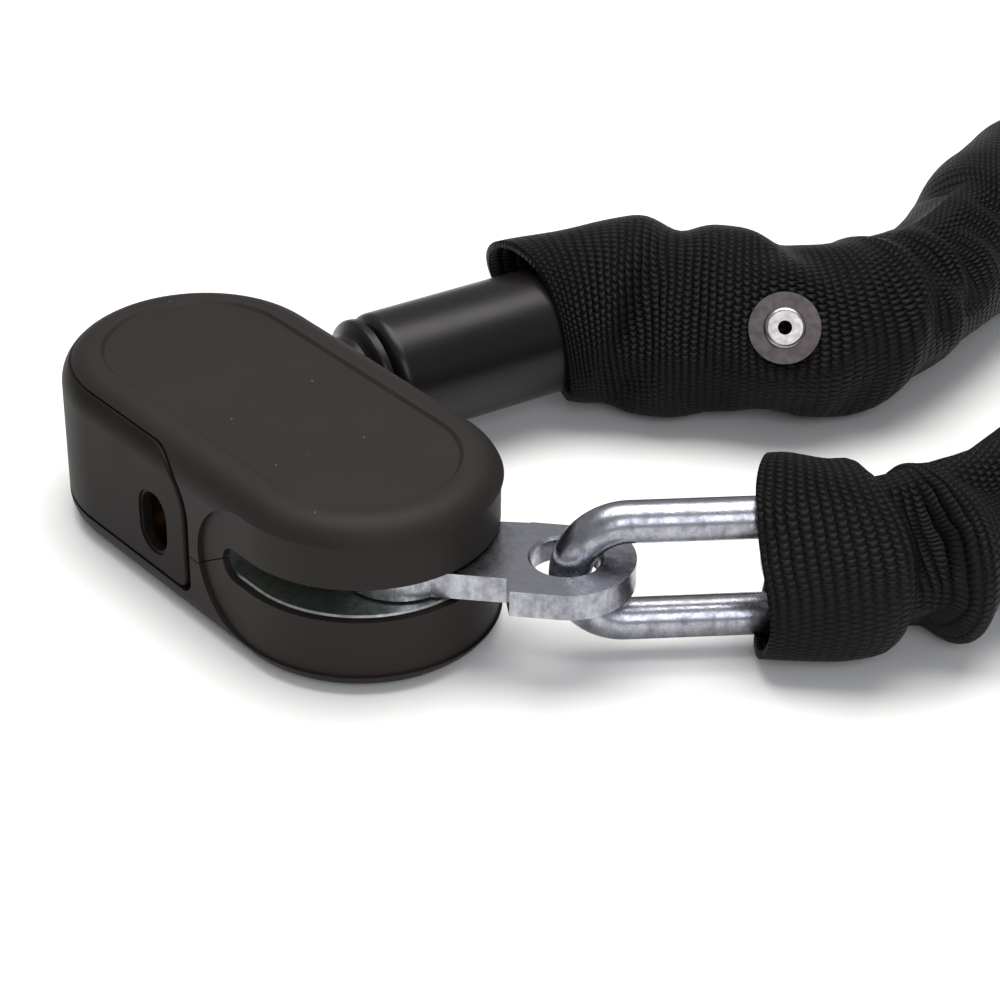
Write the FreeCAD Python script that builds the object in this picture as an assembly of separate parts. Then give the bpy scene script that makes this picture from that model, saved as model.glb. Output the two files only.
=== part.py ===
"""Chain lock for a bicycle: a keyed lock body with a round slot end, a flat steel tab that seats in
the slot, 27 welded links in a nylon sleeve, and a black ferrule where the chain is anchored.

Millimetres. +Z up. The origin is on the rest plane under the middle of the lock body, +X points to
the slot end and +Y to the side where the ferrule leaves the body. The lock is shown closed but not
yet locked: the tab is in the slot and the locking bolt is still down.
"""
import FreeCAD, Part
import math
import os

V = FreeCAD.Vector
UP = V(0, 0, 1)
SIDE = V(0, 1, 0)
FAR = 60.0  # reach of a cutting tool past the body

# ---------------------------------------------------------------- driving dimensions: lock body
body_length = 80.0
body_width = 40.5
body_height = 26.75
top_round = 4.8
base_round = 4.2
wall = 1.8  # plastic skin
skin_fit = 0.1  # between the skin and the steel inside it
half_length = body_length / 2
half_width = body_width / 2
panel_inset = 6.9  # from the side of the body to the edge of the sunken top panel
panel_depth = 0.5
panel_slope = 1.3  # width of the soft slope round the panel
seam_z = 11.0  # parting line of the two shells
seam_gap = 0.2

# slot end
slot_floor = 11.6
slot_height = 5.3
slot_back = half_length - 26.4  # where the slot's half-round end stands, along X
steel_proud = 0.3  # the steel jaws stand this far into the slot
jaw_bevel = 0.25
band_back_centre = half_length - 21.1  # centre of the half-round end of the recessed band
band_low = 2.7
band_high = 23.7
band_depth = 0.7

# end cover with the key hole
cover_edge = 45.0 - half_length  # how far it reaches along X on the key side
cover_far_edge = 12.5 - half_length  # and on the ferrule side
cover_low = 4.6
cover_high = body_height - 1.55
cover_corner = 9.0
cover_low_corner = 2.0
cover_reach = 2.4  # how far in from the side its edges go
cover_gap = 0.3
cover_edge_gap = 1.2
cover_edge_round = 0.4
key_hole_width = 6.0
key_hole_height = 9.4

# ---------------------------------------------------------------- driving dimensions: lock work
key_x = 37.2 - half_length
key_z = 12.3
housing_d = 14.0
housing_length = 10.2
plug_d = 9.6
plug_sink = 1.9  # the plug's face lies this far behind the housing's
tail = 0.26 * plug_d  # half the width of the plug's square tail
groove_depth = 0.95  # of the clip's groove round the plug
running_fit = 0.05
work_fit = 0.3  # round parts that slide or turn in a pocket
keyway_width = 2.2
keyway_height = 7.4
wafer_count = 5
wafer_thickness = 0.8
wafer_pitch = 1.6
wafer_width = 5.0
clip_thickness = 0.8
cam_thickness = 2.0
cam_d = 13.0
cam_offset = 4.6  # from the plug's axis to the cam's pin
cam_pin_d = 3.0
cam_pin_length = 4.5
cam_start_angle = -45.0  # the pin stands this far below the +X direction at rest
carrier_slack = 0.2  # above and below the cam pin in the carrier's slot
carrier_sheet = 3.0
arm_thickness = 1.5
arm_width = 8.0
bolt_x = half_length - 11.7
bolt_d = 7.0
bolt_stem_d = 5.0  # its foot, riveted into the carrier
bolt_rise = 2 * cam_offset * math.sin(math.radians(-cam_start_angle))
screw_d = 3.4
screw_head_d = 6.2
screw_head_height = 0.8
screw_socket = 4.4  # across the cross in the head
screw_places = [
    (10.0 - half_length, 0.0),
    (19.0 - half_length, 9.75 - half_width),
    (half_length - 30.8, half_width - 7.75),
    (half_length - 30.8, 7.45 - half_width),
]
boss_wall = 1.3  # round the screws in the upper shell
boss_height = 3.5
cam_screw_d = 2.0
cam_screw_head_d = 4.0
cam_screw_head_height = 0.8

# ---------------------------------------------------------------- driving dimensions: tab and chain
tab_thickness = 4.0
tab_eye = V(half_length + 5.3, 15.8, 0)  # centre of the tab's eye, in plan
tab_head_r = 8.6
tab_hole_d = bolt_d + 2.4
tab_neck_half = 6.7
tab_far_half = 8.0
tab_eye_r = 9.8
tab_shoulder = 6.6  # length of the eye's straight shoulder on the key side
eye_hole_d = 9.8
wire_d = 6.0
link_pitch = 30.0  # inside length
link_gap = 10.0  # inside width
link_play = 0.35  # between two links that hang in each other
link_count = 27
hinge_link = 13  # the chain swings open after this link, counted from the tab
sleeve_wall = 1.2
sleeve_room = 2.6  # in a straight sleeve, more than the widest thing it covers
sleeve_bend = 20.0  # bend radius of the sleeve's plain tube
sleeve_start = 26.5  # from the first link's crown to the sleeve's mouth
hinge_clear = 4.0  # each sleeve stops this far from the swing axis
free_headings = [55.0, 75.0, 85.0]  # links 1 to 3, degrees from +X
fixed_headings = [45.0, 85.0, 106.0]  # links 27 to 25, leaving the ferrule

# ferrule
ferrule_x = 24.8 - half_length  # where its axis crosses the body's side
ferrule_heading = 82.2
ferrule_d = 20.3
ferrule_bore_d = 18.2
ferrule_start = 7.7
ferrule_end = 43.0
ferrule_lip = 1.6
ferrule_round = 2.0
ferrule_room = 1.0  # least room for the ferrule, more than a link's
collar_end = 6.8
collar_neck_d = 16.0
collar_rim_d = 19.8
stud_d = 18.0
stud_neck_d = 14.0
stud_head_d = 18.0
stud_head_thickness = 3.5
stud_head_depth = 12.0  # inner face of the head, behind the body's side
stud_eye_at = 44.0
stud_eye_r = 8.5
tongue_thickness = 5.0
tongue_start = 31.0
sleeve_cuff = 37.0  # the sleeve's mouth over the ferrule
rivet_angle = 32.0  # the rivet looks this far above level
rivet_along = 34.0  # from the stud's eye along link 27
rivet_head_d = 6.5
rivet_d = 3.2
rivet_head_height = 1.0
rivet_blind_height = 1.5  # of its set end under the cloth
rivet_hole_d = 2.2  # where the mandrel snapped off
rivet_hole_floor = 0.4  # left closed at its blind end
washer_d = 11.2
washer_thickness = 0.8

# ---------------------------------------------------------------- worked-out sizes
link_width = link_gap + 2 * wire_d
sleeve_d = max(link_width, ferrule_d + ferrule_room) + sleeve_room + 2 * sleeve_wall
slot_top = slot_floor + slot_height
slot_mid = slot_floor + slot_height / 2
jaw_low = slot_floor + steel_proud
jaw_high = slot_top - steel_proud
inner = wall + skin_fit
spine_end = slot_back - 0.6
chain_z = sleeve_d / 2
crown_r = (link_gap + wire_d) / 2  # centre line of a link's round end
link_reach = link_pitch + wire_d  # between the wire centres of a link's two crowns
housing_face = -half_width + wall + 0.2


# ---------------------------------------------------------------- helpers
def stadium_wire(length, width, z):
    """Closed outline with straight sides and half-round ends."""
    r = width / 2
    half = length / 2 - r
    corners = [V(-half, -r, z), V(half, -r, z), V(half, r, z), V(-half, r, z)]
    right = Part.Arc(corners[1], V(half + r, 0, z), corners[2]).toShape()
    left = Part.Arc(corners[3], V(-half - r, 0, z), corners[0]).toShape()
    near = Part.makeLine(corners[0], corners[1])
    far = Part.makeLine(corners[2], corners[3])
    return Part.Wire([near, right, far, left])


def stadium(inset, z0, z1):
    """Upright block with the body's outline, drawn in by inset."""
    wire = stadium_wire(body_length - 2 * inset, body_width - 2 * inset, z0)
    return Part.Face(wire).extrude(V(0, 0, z1 - z0))


def rounded(shape, radius, z):
    """Round every edge that lies at height z."""
    rim = [e for e in shape.Edges if all(abs(v.Z - z) < 1e-6 for v in e.Vertexes)]
    return shape.makeFillet(radius, rim)


def bevelled(shape, z):
    """Small bevel along every edge that lies at height z."""
    rim = [e for e in shape.Edges if all(abs(v.Z - z) < 1e-6 for v in e.Vertexes)]
    return shape.makeChamfer(jaw_bevel, rim)


def side_prism(points, rounds=None):
    """Outline in the XZ plane, carried right through the body along Y, with some corners rounded."""
    outline = Part.makePolygon([V(x, -FAR, z) for x, z in points + points[:1]])
    prism = Part.Face(outline).extrude(V(0, 2 * FAR, 0))
    for (x, z), radius in (rounds or {}).items():
        edges = [
            e
            for e in prism.Edges
            if all(abs(v.X - x) < 1e-6 and abs(v.Z - z) < 1e-6 for v in e.Vertexes)
        ]
        prism = prism.makeFillet(radius, edges)
    return prism


def round_ended(x_centre, z_low, z_high):
    """Cutting tool for the slot end: a band from z_low to z_high with a half-round end."""
    r = (z_high - z_low) / 2
    bar = Part.makeBox(FAR, 2 * FAR, 2 * r, V(x_centre, -FAR, z_low))
    end = Part.makeCylinder(r, 2 * FAR, V(x_centre, -FAR, z_low + r), SIDE)
    return bar.fuse(end)


def along_y(radius, y0, y1, x=key_x, z=key_z):
    return Part.makeCylinder(radius, y1 - y0, V(x, y0, z), SIDE)


def block(x0, x1, y0, y1, z0, z1):
    return Part.makeBox(x1 - x0, y1 - y0, z1 - z0, V(x0, y0, z0))


def heading(degrees):
    return V(math.cos(math.radians(degrees)), math.sin(math.radians(degrees)), 0)


def save(name, shape):
    shape.exportStep("parts/" + name + ".step")
    print(f"{name}: {len(shape.Solids)} solid(s), {shape.Volume / 1000:.2f} cm3")


# ---------------------------------------------------------------- plastic skin of the lock body
def body_block():
    shape = stadium(0, 0, body_height)
    shape = rounded(shape, top_round, body_height)
    return rounded(shape, base_round, 0)


def skin():
    """Hollow plastic skin with the sunken top panel, the recessed band and the slot."""
    hollow = stadium(wall, wall, body_height - wall)
    hollow = rounded(hollow, top_round - wall, body_height - wall)
    hollow = rounded(hollow, base_round - wall, wall)
    profile = []
    for out, up in ((0.0, 0.0), (0.3, 0.07), (0.5, 0.5), (0.7, 0.93), (1.0, 1.0)):
        grown = 2 * panel_slope * out - 2 * panel_inset
        z = body_height - panel_depth * (1 - up)
        profile.append(stadium_wire(body_length + grown, body_width + grown, z))
    panel = Part.makeLoft(profile[:2], True)
    for lower_rim, upper_rim in zip(profile[1:-2], profile[2:-1]):
        panel = panel.fuse(Part.makeLoft([lower_rim, upper_rim], True))
    panel = panel.fuse(Part.makeLoft(profile[-2:], True))
    ring = stadium(-5, -1, body_height + 1).cut(stadium(band_depth, -2, body_height + 2))
    band = ring.common(round_ended(band_back_centre, band_low, band_high))
    slot = round_ended(slot_back + slot_height / 2, slot_floor, slot_top)
    return body_block().cut(hollow).cut(panel).cut(band).cut(slot)


def cover_zone(gap, edge_gap):
    """The part of the skin that the end cover takes, grown by the gaps on its edges."""
    edge = cover_edge + edge_gap
    low = cover_low - gap
    high = cover_high + gap
    near = side_prism(
        [(-FAR, low), (edge, low), (edge, high), (-FAR, high)],
        {(edge, low): cover_low_corner + gap, (edge, high): cover_corner + gap},
    )
    near = near.common(block(-FAR, FAR, -FAR, 0, -1, body_height + 1))
    far = block(-FAR, cover_far_edge + edge_gap, 0, FAR, low, high)
    return near.fuse(far).cut(stadium(cover_reach + gap, 0, body_height))


def lower_zone(shift):
    """Everything below the parting line, which rises to the middle of the slot's round end."""
    rise = band_back_centre - (band_high - band_low) / 2
    z = seam_z + shift
    mid = slot_mid + shift
    return side_prism(
        [(-FAR, -1), (FAR, -1), (FAR, mid), (slot_back, mid), (rise, z), (-FAR, z)]
    )


def screw_shanks(radius, z0, z1):
    bars = [Part.makeCylinder(radius, z1 - z0, V(x, y, z0)) for x, y in screw_places]
    return bars[0].fuse(bars[1:])


def ferrule_frame(along):
    """A point on the ferrule's axis, measured outwards from the body's side."""
    return V(ferrule_x, half_width, chain_z) + heading(ferrule_heading) * along


def on_ferrule(radius, start, end):
    return Part.makeCylinder(radius, end - start, ferrule_frame(start), heading(ferrule_heading))


def key_hole(grown):
    """Upright oblong hole for a flat key."""
    r = key_hole_width / 2 + grown
    reach = (key_hole_height - key_hole_width) / 2
    bar = block(key_x - r, key_x + r, -FAR, 0, key_z - reach, key_z + reach)
    ends = [along_y(r, -FAR, 0, key_x, key_z + reach * sign) for sign in (1, -1)]
    return bar.fuse(ends)


def make_shells():
    whole = skin()
    whole = whole.cut(on_ferrule(collar_neck_d / 2 + work_fit, -8, 4))
    cover = whole.common(cover_zone(0, 0))
    edge = [
        e
        for e in cover.Edges
        if e.BoundBox.YMax < cover_corner - half_width
        and e.BoundBox.YMin < 0.01 - half_width
        and e.BoundBox.XMax > -half_length + half_width
        and e.BoundBox.ZMax - e.BoundBox.ZMin > 1
        and e.BoundBox.YMax < 0.01 - half_width
    ]
    cover = cover.makeFillet(cover_edge_round, edge)
    cover = cover.cut(key_hole(0))
    cover = cover.cut(key_hole(0.5).common(block(-FAR, FAR, -FAR, 0.3 - half_width, 0, FAR)))
    main = whole.cut(cover_zone(cover_gap, cover_edge_gap))
    lower = main.common(lower_zone(-seam_gap / 2))
    upper = main.cut(lower_zone(seam_gap / 2))
    ceiling = body_height - wall
    bosses = screw_shanks(screw_d / 2 + boss_wall, ceiling - boss_height, ceiling + 0.2)
    upper = upper.fuse(bosses).cut(screw_shanks(screw_d / 2, 0, ceiling - 0.9))
    lower = lower.cut(screw_shanks(screw_d / 2 + 0.2, -1, wall + 1))
    lower = lower.cut(screw_shanks(screw_head_d / 2 + 0.2, -1, wall - 0.8))
    save("upper_shell", upper)
    save("lower_shell", lower)
    save("end_cover", cover)


# ---------------------------------------------------------------- steel core under the skin
def carrier_pockets():
    """Room for the bolt carrier over its whole rise."""
    top = arm_top() + bolt_rise + work_fit
    arm = block(
        key_x - 1.1, bolt_x + 4.9, -arm_width / 2 - work_fit, arm_width / 2 + work_fit, 0, top
    )
    leg = block(
        key_x - 1.1,
        key_x + 9.0,
        leg_back() - carrier_sheet - work_fit,
        leg_back() + work_fit,
        0,
        leg_top() + bolt_rise + work_fit,
    )
    return arm.fuse(leg)


def arm_top():
    return inner + 0.2 + arm_thickness


def pin_rest_z():
    return key_z + cam_offset * math.sin(math.radians(cam_start_angle))


def leg_top():
    return pin_rest_z() + cam_pin_d / 2 + carrier_slack + 1.6


def leg_back():
    """Inner face of the carrier's leg, just short of the end of the cam's pin."""
    return housing_rear() + 2 * clip_thickness + cam_thickness + cam_pin_length


def housing_rear():
    return housing_face + housing_length


def make_core():
    lower = rounded(stadium(inner, inner, jaw_low), base_round - wall, inner)
    lower = bevelled(lower, jaw_low)
    spine = stadium(inner, jaw_low, jaw_high)
    spine = spine.common(block(-FAR, spine_end, -FAR, FAR, 0, body_height))
    upper = rounded(
        stadium(inner, jaw_high, body_height - inner - panel_depth),
        top_round - wall,
        body_height - inner - panel_depth,
    )
    upper = bevelled(upper, jaw_high)
    barrel = along_y(housing_d / 2 + skin_fit, -FAR, leg_back() - carrier_sheet)
    head_back = -stud_head_depth - work_fit
    head_pocket = on_ferrule(stud_head_d / 2 + work_fit, head_back, stud_head_thickness - stud_head_depth)
    neck_bore = on_ferrule(stud_neck_d / 2 + skin_fit, -stud_head_depth, FAR)
    collar_bore = on_ferrule(collar_neck_d / 2 + work_fit, -3.0, FAR)
    bolt_foot = jaw_low - 4
    bolt_top = jaw_high + 2.4
    bolt_hole = Part.makeCylinder(bolt_d / 2 + 0.15, bolt_top - bolt_foot, V(bolt_x, 0, bolt_foot))
    screws = screw_shanks(screw_d / 2 + 0.2, -1, FAR)
    boss_room = screw_shanks(screw_d / 2 + boss_wall + 0.2, body_height - wall - boss_height - 0.3, FAR)
    pockets = [barrel, head_pocket, neck_bore, collar_bore, carrier_pockets(), screws, boss_room, bolt_hole]
    save("lower_jaw", lower.cut(pockets))
    save("core_spine", spine.cut(pockets))
    save("upper_jaw", upper.cut(pockets))


def make_screws():
    shanks = screw_shanks(screw_d / 2, wall - screw_head_height, body_height - wall - 1.4)
    foot = wall - 2 * screw_head_height
    heads = [
        Part.makeCylinder(screw_head_d / 2, screw_head_height, V(x, y, foot)) for x, y in screw_places
    ]
    arm = screw_socket / 2
    sockets = [
        block(x - 0.5, x + 0.5, y - arm, y + arm, foot - 0.1, foot + 0.5)
        .fuse(block(x - arm, x + arm, y - 0.5, y + 0.5, foot - 0.1, foot + 0.5))
        for x, y in screw_places
    ]
    save("shell_screws", shanks.fuse(heads).cut(sockets))


# ---------------------------------------------------------------- key cylinder
def make_cylinder():
    rear = housing_rear()
    plug_face = housing_face + plug_sink
    bore = along_y(plug_d / 2 + running_fit, housing_face - 1, rear + 1)
    save("cylinder_housing", along_y(housing_d / 2, housing_face, rear).cut(bore))

    plug = along_y(plug_d / 2, plug_face, rear + 2 * clip_thickness)
    groove = along_y(plug_d, rear + 0.05, rear + clip_thickness + 0.1)
    groove = groove.cut(along_y(plug_d / 2 - groove_depth - running_fit, rear - 1, rear + 3))
    half_w = keyway_width / 2
    half_h = keyway_height / 2
    keyway = block(
        key_x - half_w, key_x + half_w, plug_face - 1, rear - 0.8, key_z - half_h, key_z + half_h
    )
    ward = block(key_x, key_x + half_w + 0.8, plug_face - 1, rear - 0.8, key_z + 0.6, key_z + 1.8)
    square = block(
        key_x - tail, key_x + tail, rear + clip_thickness, rear + 2 * clip_thickness + cam_thickness,
        key_z - tail, key_z + tail,
    )
    plug = plug.cut(groove).cut(keyway).cut(ward).fuse(square)
    for i in range(wafer_count):
        y = plug_face + 1.0 + i * wafer_pitch
        window = block(
            key_x - keyway_width / 2 - 0.2, key_x + keyway_width / 2 + 0.2, y - 1, y + 2,
            key_z - 2.6, key_z + 2.6,
        )
        body = block(
            key_x - wafer_width / 2, key_x + wafer_width / 2, y, y + wafer_thickness, key_z - 6, key_z + 6
        )
        wafer = body.common(along_y(plug_d / 2 - 0.1, y - 1, y + 2)).cut(window)
        room = block(
            key_x - wafer_width / 2 - 0.1, key_x + wafer_width / 2 + 0.1, y - 0.1,
            y + wafer_thickness + 0.1, key_z - 6, key_z + 6,
        )
        plug = plug.cut(room)
        save(f"plug_wafer_{i + 1}", wafer)
    screw_hole = along_y(cam_screw_d / 2, rear - 1.5, rear + 6)
    save("key_plug", plug.cut(screw_hole))

    clip = along_y(plug_d / 2 + 1.6, rear + 0.07, rear + 0.07 + clip_thickness)
    clip = clip.cut(along_y(plug_d / 2 - groove_depth, rear - 1, rear + 3))
    mouth = block(key_x - 3.0, key_x + 3.0, rear - 1, rear + 3, key_z, key_z + 10)
    save("plug_clip", clip.cut(mouth))

    cam_y = rear + 2 * clip_thickness
    disc = along_y(cam_d / 2, cam_y, cam_y + cam_thickness)
    start = math.radians(cam_start_angle)
    pin_x = key_x + cam_offset * math.cos(start)
    pin_z = key_z + cam_offset * math.sin(start)
    pin = along_y(cam_pin_d / 2, cam_y + cam_thickness, leg_back() - 0.3, pin_x, pin_z)
    save("drive_cam", disc.cut(square).fuse(pin))

    screw_y = cam_y + cam_thickness
    head = along_y(cam_screw_head_d / 2, screw_y, screw_y + cam_screw_head_height)
    screw = head.fuse(along_y(cam_screw_d / 2, rear - 1.3, screw_y))
    slit = block(key_x - 3, key_x + 3, screw_y + 0.4, screw_y + 2, key_z - 0.3, key_z + 0.3)
    save("cam_screw", screw.cut(slit))


# ---------------------------------------------------------------- bolt and its carrier
def make_bolt():
    start = math.radians(cam_start_angle)
    slot_half = cam_pin_d / 2 + carrier_slack
    pin_near = key_x + cam_offset * math.cos(start)
    pin_far = key_x + cam_offset
    arm_low = inner + 0.2
    back = leg_back()
    leg = block(key_x - 0.7, key_x + 8.6, back - carrier_sheet, back, arm_low, leg_top())
    slot = block(
        pin_near - slot_half, pin_far + slot_half, back - 10, back + 10,
        pin_rest_z() - slot_half, pin_rest_z() + slot_half,
    )
    arm = block(key_x - 0.7, bolt_x, -arm_width / 2, arm_width / 2, arm_low, arm_top())
    tip = Part.makeCylinder(arm_width / 2, arm_thickness, V(bolt_x, 0, arm_low))
    stem = Part.makeCylinder(bolt_stem_d / 2, arm_thickness, V(bolt_x, 0, arm_low))
    save("bolt_carrier", arm.fuse([tip, leg]).cut(slot).cut(stem))
    pin = Part.makeCylinder(bolt_d / 2, jaw_low - 0.1 - arm_top(), V(bolt_x, 0, arm_top()))
    rim = [e for e in pin.Edges if all(abs(v.Z - jaw_low + 0.1) < 1e-6 for v in e.Vertexes)]
    save("locking_bolt", pin.makeChamfer(0.6, rim[:1]).fuse(stem))


# ---------------------------------------------------------------- tab
def tab_direction():
    return (tab_eye - V(bolt_x, 0, 0)).normalize()


def make_tab():
    z0 = slot_mid - tab_thickness / 2
    ahead = tab_direction()
    near = V(ahead.y, -ahead.x, 0)  # towards the key side
    head = V(bolt_x, 0, z0)
    eye = V(tab_eye.x, tab_eye.y, z0)

    def plate(points):
        return Part.Face(Part.makePolygon(points + points[:1])).extrude(V(0, 0, tab_thickness))

    neck = plate([
        head + near * tab_neck_half,
        eye + near * tab_neck_half,
        eye - near * tab_far_half,
        eye - near * tab_far_half - ahead * 3,
        head - near * tab_neck_half,
    ])
    shoulder = plate([
        eye,
        eye + near * tab_eye_r,
        eye + near * tab_eye_r - ahead * tab_shoulder,
        eye + near * tab_neck_half - ahead * (tab_shoulder + 0.8),
        eye - ahead * tab_shoulder,
    ])
    far_side = plate([
        eye - near * tab_far_half - ahead * 30,
        eye - near * tab_far_half + ahead * 5.6,
        eye - near * 30 + ahead * 5.6,
        eye - near * 30 - ahead * 30,
    ])
    ring = Part.makeCylinder(tab_eye_r, tab_thickness, eye).cut(far_side)
    tab = Part.makeCylinder(tab_head_r, tab_thickness, head).fuse([neck, shoulder, ring]).removeSplitter()
    tab = tab.cut(Part.makeCylinder(tab_hole_d / 2, tab_thickness, head))
    tab = tab.cut(Part.makeCylinder(eye_hole_d / 2, tab_thickness, eye))
    hole_radii = (eye_hole_d / 2, tab_hole_d / 2)
    rims = [
        e
        for e in tab.Edges
        if hasattr(e.Curve, "Radius")
        and min(abs(e.Curve.Radius - r) for r in hole_radii) < 1e-6
        and len(e.Vertexes) == 1
        and e.BoundBox.ZLength < 1e-6
    ]
    save("lock_tab", tab.makeChamfer(0.4, rims))


# ---------------------------------------------------------------- route of the chain
def eye_offset(hole_d, plate_low, plate_high):
    """How far past an eye's centre the crown of its link may stand, clear of the eye's rim."""
    reach = max(chain_z - plate_low, plate_high - chain_z)
    clear = crown_r - wire_d / 2 - link_play
    return hole_d / 2 - (crown_r - math.sqrt(clear * clear - reach * reach))


def step(number):
    """Pivot-to-pivot length of a link: odd links stand upright, even links lie flat."""
    if number % 2:
        return link_reach + 2 * pivot_gap
    return link_reach - 2 * crown_r


pivot_gap = 2 * crown_r - wire_d - link_play - crown_r  # from an upright link's crown to the pivot
first_crown = tab_eye + heading(free_headings[0]) * eye_offset(
    eye_hole_d, slot_mid - tab_thickness / 2, slot_mid + tab_thickness / 2
)
last_crown = ferrule_frame(stud_eye_at) + heading(fixed_headings[0]) * eye_offset(
    eye_hole_d, chain_z - tongue_thickness / 2, chain_z + tongue_thickness / 2
)


def walk(start, headings, numbers):
    """Pivots reached from start by links of the given headings."""
    points = [start]
    for angle, number in zip(headings, numbers):
        points.append(points[-1] + heading(angle) * step(number))
    return points


def chain_route():
    """Pivots between the links, all in plan, from the tab's crown to the ferrule's crown.

    The three links at each end have set headings. Between them the heading turns evenly, with two
    smooth waves on top whose sizes make the chain close.
    """
    first = at_chain_height(first_crown - heading(free_headings[0]) * pivot_gap)
    last = at_chain_height(last_crown - heading(fixed_headings[0]) * pivot_gap)
    free_end = walk(first, free_headings, [1, 2, 3])
    fixed_end = walk(last, fixed_headings, [link_count, link_count - 1, link_count - 2])
    numbers = list(range(4, link_count - 2))
    turn = fixed_headings[-1] + 180 - free_headings[-1]

    def middle(bulge, lean):
        angles = []
        for i, _ in enumerate(numbers):
            u = (i + 0.5) / len(numbers)
            wave = bulge * math.sin(2 * math.pi * u) + lean * math.sin(math.pi * u)
            angles.append(free_headings[-1] + turn * u - wave)
        return walk(free_end[-1], angles, numbers)

    def miss(bulge, lean):
        return middle(bulge, lean)[-1] - fixed_end[-1]

    bulge, lean = 60.0, 0.0
    for _ in range(30):
        now = miss(bulge, lean)
        by_bulge = (miss(bulge + 0.01, lean) - now) * 100
        by_lean = (miss(bulge, lean + 0.01) - now) * 100
        det = by_bulge.x * by_lean.y - by_lean.x * by_bulge.y
        bulge -= (now.x * by_lean.y - by_lean.x * now.y) / det
        lean -= (by_bulge.x * now.y - now.x * by_bulge.y) / det
    left = miss(bulge, lean).Length
    print(f"chain closes with waves of {bulge:.1f} and {lean:.1f} degrees, {left:.5f} mm apart")
    return free_end[:-1] + middle(bulge, lean)[:-1] + fixed_end[::-1]


def at_chain_height(point):
    return V(point.x, point.y, chain_z)


def make_link(number, start, end):
    """Welded link of round wire between two pivots."""
    ahead = (end - start).normalize()
    across = V(0, 0, 1) if number % 2 else V(-ahead.y, ahead.x, 0)
    axis = ahead.cross(across)
    middle = (start + end) * 0.5
    half = link_reach / 2 - crown_r
    pieces = []
    for sign in (1, -1):
        leg_start = middle - ahead * half + across * (crown_r * sign)
        pieces.append(Part.makeCylinder(wire_d / 2, 2 * half, leg_start, ahead))
        centre = middle + ahead * (half * sign)
        ring = Part.makeCircle(wire_d / 2, centre + across * crown_r, ahead)
        face = Part.Face(Part.Wire([ring]))
        pieces.append(face.revolve(centre, axis, -180 * sign))
    return pieces[0].fuse(pieces[1:]).removeSplitter()


def make_chain(route):
    for i in range(link_count):
        number = i + 1
        save(f"chain_link_{number:02d}", make_link(number, route[i], route[i + 1]))


# ---------------------------------------------------------------- sleeve
def bent_tube(points, radius):
    """Round bar along straight runs joined by tangent arcs."""
    edges = []
    at = points[0]
    last = len(points) - 2
    for i in range(1, len(points) - 1):
        before = points[i] - points[i - 1]
        after = points[i + 1] - points[i]
        turn = before.getAngle(after)
        room = min(
            before.Length * (0.95 if i == 1 else 0.48), after.Length * (0.95 if i == last else 0.48)
        )
        reach = min(sleeve_bend * math.tan(turn / 2), room)
        before.normalize()
        after.normalize()
        enter = points[i] - before * reach
        leave = points[i] + after * reach
        bend = reach / math.tan(turn / 2)
        inward = (after - before).normalize()
        mid = points[i] + inward * (bend / math.cos(turn / 2) - bend)
        edges.append(Part.makeLine(at, enter))
        edges.append(Part.Arc(enter, mid, leave).toShape())
        at = leave
    edges.append(Part.makeLine(at, points[-1]))
    path = Part.Wire(edges)
    ring = Part.Wire([Part.makeCircle(radius, points[0], points[1] - points[0])])
    return path.makePipeShell([ring], True, False), path.Length


def sleeve(points):
    outer, length = bent_tube(points, sleeve_d / 2)
    bore, _ = bent_tube(points, sleeve_d / 2 - sleeve_wall)
    tube = outer.cut(bore)
    section = math.pi * ((sleeve_d / 2) ** 2 - (sleeve_d / 2 - sleeve_wall) ** 2)
    print(f"sleeve {length:.1f} mm, volume over section x length {tube.Volume / section / length:.4f}")
    return tube


def rivet_frame():
    """Centre and direction of the rivet, on the sleeve's outside over link 27."""
    ahead = heading(fixed_headings[0])
    side = V(ahead.y, -ahead.x, 0)
    tilt = math.radians(rivet_angle)
    out = side * math.cos(tilt) + UP * math.sin(tilt)
    return ferrule_frame(stud_eye_at) + ahead * rivet_along, out


def make_sleeves(route):
    swing = route[hinge_link]
    free = [
        first_crown + heading(free_headings[0]) * sleeve_start,
        *route[1:hinge_link],
        swing + (route[hinge_link - 1] - swing).normalize() * hinge_clear,
    ]
    fixed = [
        swing + (route[hinge_link + 1] - swing).normalize() * hinge_clear,
        *route[hinge_link + 1:-1],
        ferrule_frame(stud_eye_at),
        ferrule_frame(sleeve_cuff),
    ]
    save("sleeve_free_side", sleeve([at_chain_height(p) for p in free]))
    at, out = rivet_frame()
    hole = Part.makeCylinder(rivet_d / 2 + 0.1, FAR, at, out)
    save("sleeve_fixed_side", sleeve([at_chain_height(p) for p in fixed]).cut(hole))
    washer = Part.makeCylinder(washer_d / 2, washer_thickness, at + out * (sleeve_d / 2), out)
    save("rivet_washer", washer.cut(hole))
    head_at = at + out * (sleeve_d / 2 + washer_thickness)
    head = Part.makeCylinder(rivet_head_d / 2, rivet_head_height, head_at, out)
    crown = [
        e for e in head.Edges if abs((e.CenterOfMass - head_at).dot(out) - rivet_head_height) < 1e-6
    ]
    head = head.makeFillet(0.7, crown)
    grip = washer_thickness + sleeve_wall
    shank = Part.makeCylinder(rivet_d / 2, grip, head_at - out * grip, out)
    blind_at = head_at - out * (grip + rivet_blind_height)
    blind = Part.makeCylinder(rivet_d / 2 + 0.8, rivet_blind_height, blind_at, out)
    mandrel_hole = Part.makeCylinder(rivet_hole_d / 2, FAR, blind_at + out * rivet_hole_floor, out)
    rivet = head.fuse([shank, blind]).cut(mandrel_hole)
    save("sleeve_rivet", rivet)


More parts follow.
